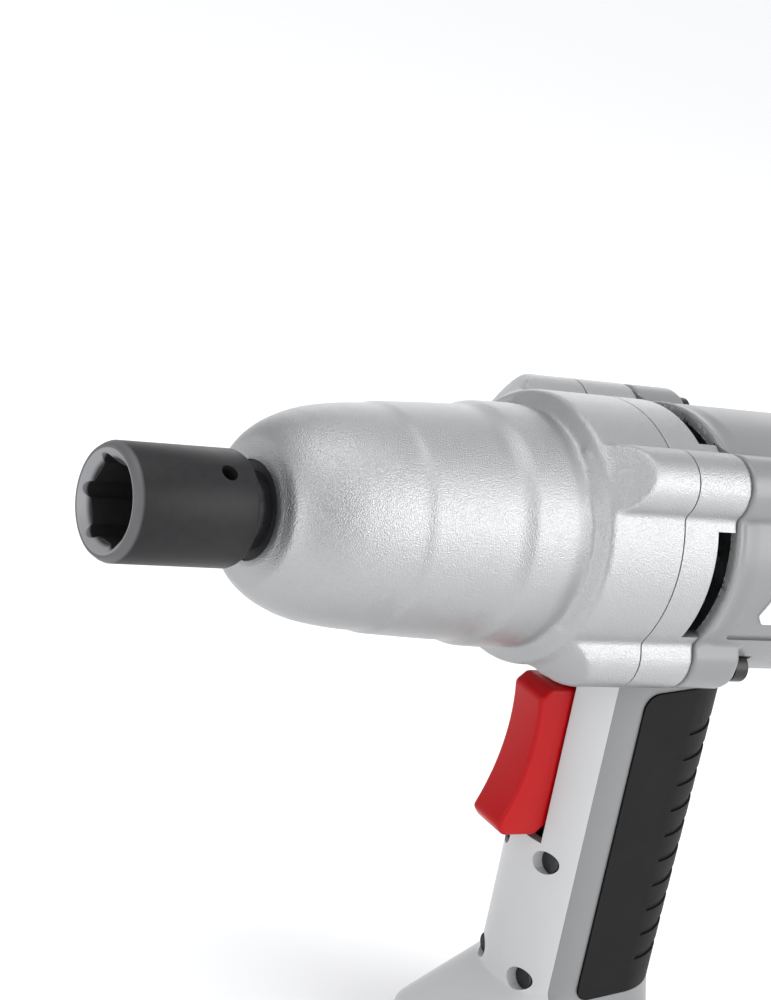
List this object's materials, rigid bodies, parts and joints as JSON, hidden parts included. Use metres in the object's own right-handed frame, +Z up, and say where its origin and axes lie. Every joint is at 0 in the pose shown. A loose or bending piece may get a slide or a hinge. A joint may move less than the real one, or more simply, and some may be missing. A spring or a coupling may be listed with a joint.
{
  "type": "impact wrench",
  "caption": "Corded electric impact wrench with a pistol grip: cast silver hammer case, grey motor housing, red rocker trigger, and a black impact socket on a square drive.",
  "frame": {"origin": "centre of the flat face under the handle's foot", "axes": "+X from the socket to the motor's rear along the drive axis, +Y to the tool's right, +Z up"},
  "size_m": [0.298, 0.0794, 0.2247],
  "materials": {
    "socket_black": "satin black phosphate",
    "dark_steel": "dark oiled steel",
    "bright_steel": "ground steel",
    "spring_steel": "dark spring steel",
    "bronze": "sintered bronze",
    "brass": "plain brass",
    "copper": "varnished copper",
    "cast_silver": "die cast, fine silver metallic paint",
    "housing_grey": "semi-gloss moulded grey",
    "cover_light": "semi-gloss moulded light grey",
    "grip_rubber": "matte overmoulded rubber",
    "seal_rubber": "matte rubber",
    "black_plastic": "moulded black",
    "black_screws": "black oxide",
    "trigger_red": "bright red moulded",
    "carbon": "pressed carbon",
    "capacitor_yellow": "yellow film case",
    "label_white": "plain printed foil"
  },
  "bodies": {
    "housing": {"hammer_case": "cast_silver", "nose_seal": "seal_rubber", "anvil_bush": "bronze", "case_gasket": "seal_rubber", "gear_plate": "cast_silver", "ring_gear": "dark_steel", "spindle_bearing": "bright_steel", "front_bearing": "bright_steel", "rear_bearing": "bright_steel", "motor_housing": "housing_grey", "air_baffle": "black_plastic", "stator_core": "dark_steel", "stator_coils": "copper", "rear_cover": "housing_grey", "handle_cover": "cover_light", "grip_rubber": "grip_rubber", "brush_holders": "brass", "brush_caps": "black_plastic", "brush_spring_left": "spring_steel", "brush_spring_right": "spring_steel", "trigger_pin": "bright_steel", "switch_body": "black_plastic", "capacitor": "capacitor_yellow", "terminal_block": "cover_light", "cord_gland": "seal_rubber", "cord_clamp": "black_plastic", "clamp_screws": "bright_steel", "housing_screws": "black_screws", "rear_cover_screws": "black_screws", "handle_screws": "black_screws", "label_plates": "label_white"},
    "anvil": {"anvil": "dark_steel", "retaining_ring": "bright_steel"},
    "socket": {"impact_socket": "socket_black"},
    "spindle": {"spindle": "bright_steel", "planet_pins": "dark_steel", "spindle_bearing_race": "bright_steel", "hammer_spring": "spring_steel"},
    "hammer": {"hammer": "dark_steel", "thrust_balls": "bright_steel", "thrust_washer": "bright_steel"},
    "cam_balls": {"cam_balls": "bright_steel"},
    "planet_1": {"planet_gear_1": "bright_steel"},
    "planet_2": {"planet_gear_2": "bright_steel"},
    "planet_3": {"planet_gear_3": "bright_steel"},
    "armature": {"motor_shaft": "bright_steel", "armature_core": "dark_steel", "armature_windings": "copper", "commutator": "copper", "cooling_fan": "black_plastic", "front_bearing_race": "bright_steel", "rear_bearing_race": "bright_steel"},
    "brush_left": {"brush_left": "carbon"},
    "brush_right": {"brush_right": "carbon"},
    "trigger": {"trigger": "trigger_red"},
    "plunger_upper": {"switch_plunger_upper": "cover_light"},
    "plunger_lower": {"switch_plunger_lower": "cover_light"}
  },
  "joints": [
    {"name": "spindle_spin", "type": "hinge", "parent": "housing", "child": "spindle", "pos_m": [-0.058, 0, 0.185], "axis": [1, 0, 0], "continuous": true},
    {"name": "anvil_spin", "type": "hinge", "parent": "housing", "child": "anvil", "pos_m": [-0.148, 0, 0.185], "axis": [1, 0, 0], "continuous": true},
    {"name": "armature_spin", "type": "hinge", "parent": "housing", "child": "armature", "pos_m": [0.012, 0, 0.185], "axis": [1, 0, 0], "continuous": true},
    {"name": "hammer_slide", "type": "slide", "parent": "spindle", "child": "hammer", "axis": [1, 0, 0], "range_m": [0, 0.01], "stiffness_N_per_m": 6000, "springref_m": -0.004, "deforming": ["hammer_spring"]},
    {"name": "cam_ball_slide", "type": "slide", "parent": "spindle", "child": "cam_balls", "axis": [1, 0, 0], "range_m": [0, 0.005]},
    {"name": "socket_slide", "type": "slide", "parent": "anvil", "child": "socket", "axis": [-1, 0, 0], "range_m": [0, 0.03]},
    {"name": "trigger_rock", "type": "hinge", "parent": "housing", "child": "trigger", "pos_m": [-0.023, 0, 0.111], "axis": [0, 1, 0], "range_deg": [-7, 7], "stiffness_Nm_per_rad": 0.6},
    {"name": "plunger_upper_slide", "type": "slide", "parent": "housing", "child": "plunger_upper", "axis": [1, 0, 0], "range_m": [-0.002, 0.002]},
    {"name": "plunger_lower_slide", "type": "slide", "parent": "housing", "child": "plunger_lower", "axis": [1, 0, 0], "range_m": [-0.002, 0.002]},
    {"name": "brush_left_slide", "type": "slide", "parent": "housing", "child": "brush_left", "axis": [0, -1, 0], "range_m": [0, 0.002], "stiffness_N_per_m": 400, "springref_m": -0.008, "deforming": ["brush_spring_left"]},
    {"name": "brush_right_slide", "type": "slide", "parent": "housing", "child": "brush_right", "axis": [0, 1, 0], "range_m": [0, 0.002], "stiffness_N_per_m": 400, "springref_m": -0.008, "deforming": ["brush_spring_right"]},
    {"name": "planet_1_spin", "type": "hinge", "parent": "spindle", "child": "planet_1", "pos_m": [-0.0585, 0.015, 0.185], "axis": [1, 0, 0], "continuous": true},
    {"name": "planet_2_spin", "type": "hinge", "parent": "spindle", "child": "planet_2", "pos_m": [-0.0585, -0.0075, 0.19799], "axis": [1, 0, 0], "continuous": true},
    {"name": "planet_3_spin", "type": "hinge", "parent": "spindle", "child": "planet_3", "pos_m": [-0.0585, -0.0075, 0.17201], "axis": [1, 0, 0], "continuous": true}
  ],
  "couplings": [
    {"joint": "anvil_spin", "follows": "spindle_spin", "ratio": 1},
    {"joint": "armature_spin", "follows": "spindle_spin", "ratio": 7.5},
    {"joint": "cam_ball_slide", "follows": "hammer_slide", "ratio": 0.5},
    {"joint": "plunger_upper_slide", "follows": "trigger_rock", "m_per_rad": 0.015},
    {"joint": "plunger_lower_slide", "follows": "trigger_rock", "m_per_rad": -0.015},
    {"joint": "planet_1_spin", "follows": "spindle_spin", "ratio": -2.3636},
    {"joint": "planet_2_spin", "follows": "spindle_spin", "ratio": -2.3636},
    {"joint": "planet_3_spin", "follows": "spindle_spin", "ratio": -2.3636}
  ]
}
